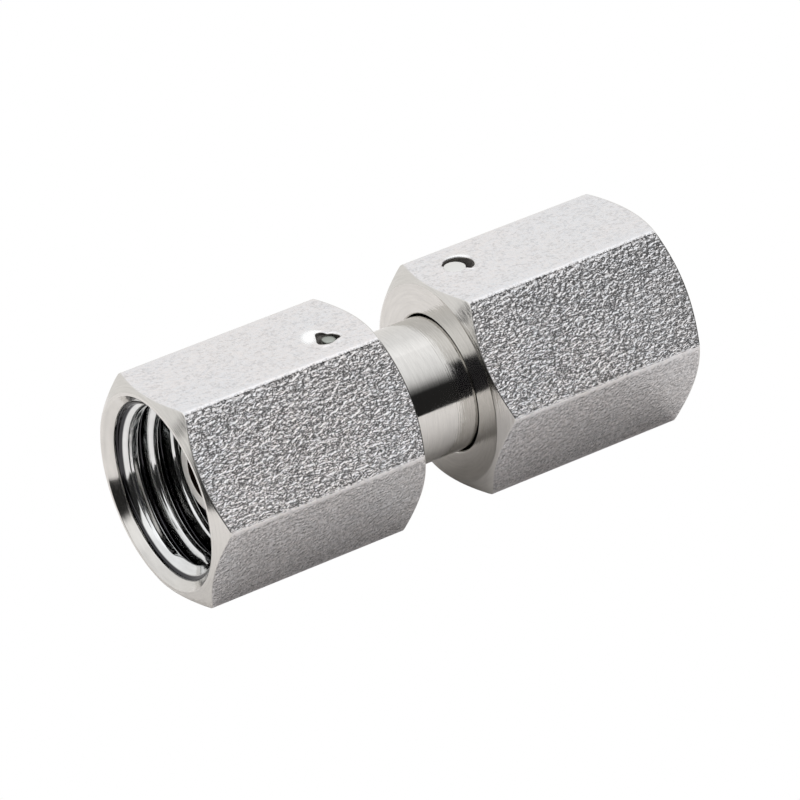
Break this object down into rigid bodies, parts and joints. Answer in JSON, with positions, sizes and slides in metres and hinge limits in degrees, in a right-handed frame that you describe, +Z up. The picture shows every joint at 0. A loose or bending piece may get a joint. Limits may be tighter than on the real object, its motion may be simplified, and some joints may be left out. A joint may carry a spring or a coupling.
{
  "type": "swivel hydraulic coupling",
  "caption": "Straight steel coupling whose hex swivel nuts are held by drive-in wires on a turned spigot with a sealing cone and O-ring at each end.",
  "frame": {"origin": "on the coupling's axis, midway between the two open mouths", "axes": "+X along the bore from nut A to nut B; +Z up, square to the flats that hold the wire holes; +Y to the left when looking from nut A to nut B"},
  "size_m": [0.0374, 0.016, 0.014],
  "materials": {
    "turned_steel": "satin",
    "nut_steel": "satin",
    "wire_steel": "satin",
    "seal_rubber": "matte"
  },
  "bodies": {
    "spigot": {"swivel_body": "turned_steel", "o_ring_a": "seal_rubber", "o_ring_b": "seal_rubber"},
    "nut_a_body": {"nut_a": "nut_steel", "retaining_wire_a": "wire_steel"},
    "nut_b_body": {"nut_b": "nut_steel", "retaining_wire_b": "wire_steel"}
  },
  "joints": [
    {"name": "nut_a_swivel", "type": "hinge", "parent": "spigot", "child": "nut_a_body", "pos_m": [-0.00605, 0, 0], "axis": [1, 0, 0], "continuous": true},
    {"name": "nut_b_swivel", "type": "hinge", "parent": "spigot", "child": "nut_b_body", "pos_m": [0.00605, 0, 0], "axis": [1, 0, 0], "continuous": true}
  ]
}
